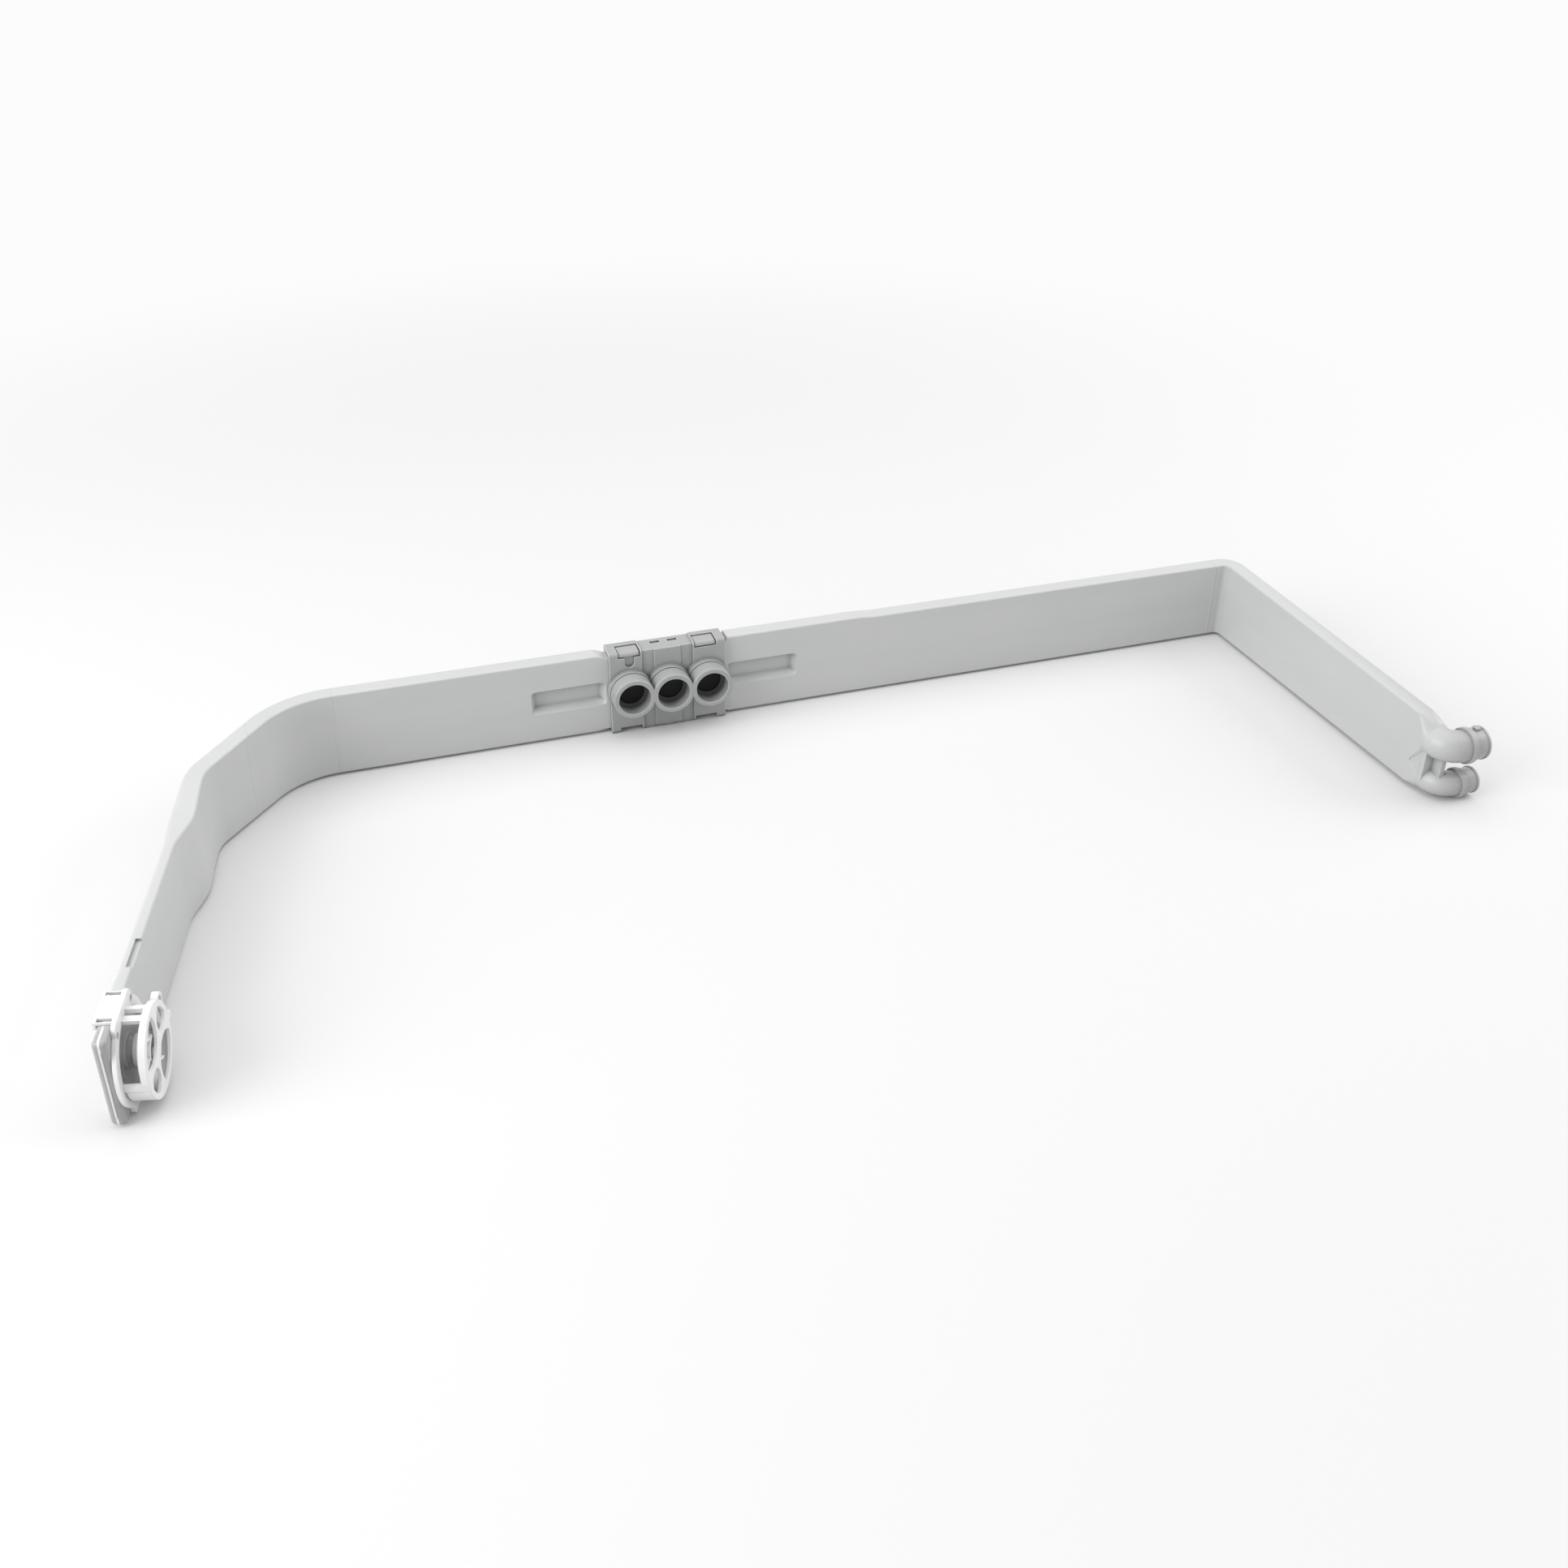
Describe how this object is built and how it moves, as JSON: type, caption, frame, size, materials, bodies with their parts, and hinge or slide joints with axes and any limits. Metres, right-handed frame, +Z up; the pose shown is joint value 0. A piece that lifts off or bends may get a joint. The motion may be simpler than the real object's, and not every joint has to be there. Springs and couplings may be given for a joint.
{
  "type": "dishwasher water tube",
  "caption": "U-shaped flat blown water tube with a clip-on docking housing of round flap ports, two inlet spigots and a caged spinning roof sprayer.",
  "frame": {"origin": "on the surface that the part lies on, under the middle port, in the plane of the main run's front face", "axes": "+X along the main run towards the inlets, +Y out of the main run's back face, +Z up, across the width of the duct"},
  "size_m": [0.7833, 0.2937, 0.0568],
  "materials": {
    "tube_grey": "satin blown polypropylene",
    "housing_grey": "satin injection-moulded polypropylene",
    "sprayer_white": "satin white polypropylene",
    "rubber_black": "matt black rubber"
  },
  "bodies": {
    "tube": {"tube_body": "tube_grey", "docking_housing": "housing_grey", "port_collars": "housing_grey", "port_seal": "rubber_black", "spray_nozzle": "tube_grey", "spray_cage": "sprayer_white"},
    "flap_left": {"port_flap_left": "rubber_black"},
    "flap_middle": {"port_flap_middle": "rubber_black"},
    "flap_right": {"port_flap_right": "rubber_black"},
    "sprayer": {"spray_rotor": "sprayer_white"}
  },
  "joints": [
    {"name": "flap_left_swing", "type": "hinge", "parent": "tube", "child": "flap_left", "pos_m": [-0.025, -0.0046, 0.0388], "axis": [1, 0, 0], "range_deg": [0, 40]},
    {"name": "flap_middle_swing", "type": "hinge", "parent": "tube", "child": "flap_middle", "pos_m": [0, -0.0046, 0.0388], "axis": [1, 0, 0], "range_deg": [0, 40]},
    {"name": "flap_right_swing", "type": "hinge", "parent": "tube", "child": "flap_right", "pos_m": [0.025, -0.0046, 0.0388], "axis": [1, 0, 0], "range_deg": [0, 40]},
    {"name": "sprayer_spin", "type": "hinge", "parent": "tube", "child": "sprayer", "pos_m": [-0.33115, -0.25544, 0.0266], "axis": [0.9732, -0.23, 0], "continuous": true}
  ]
}
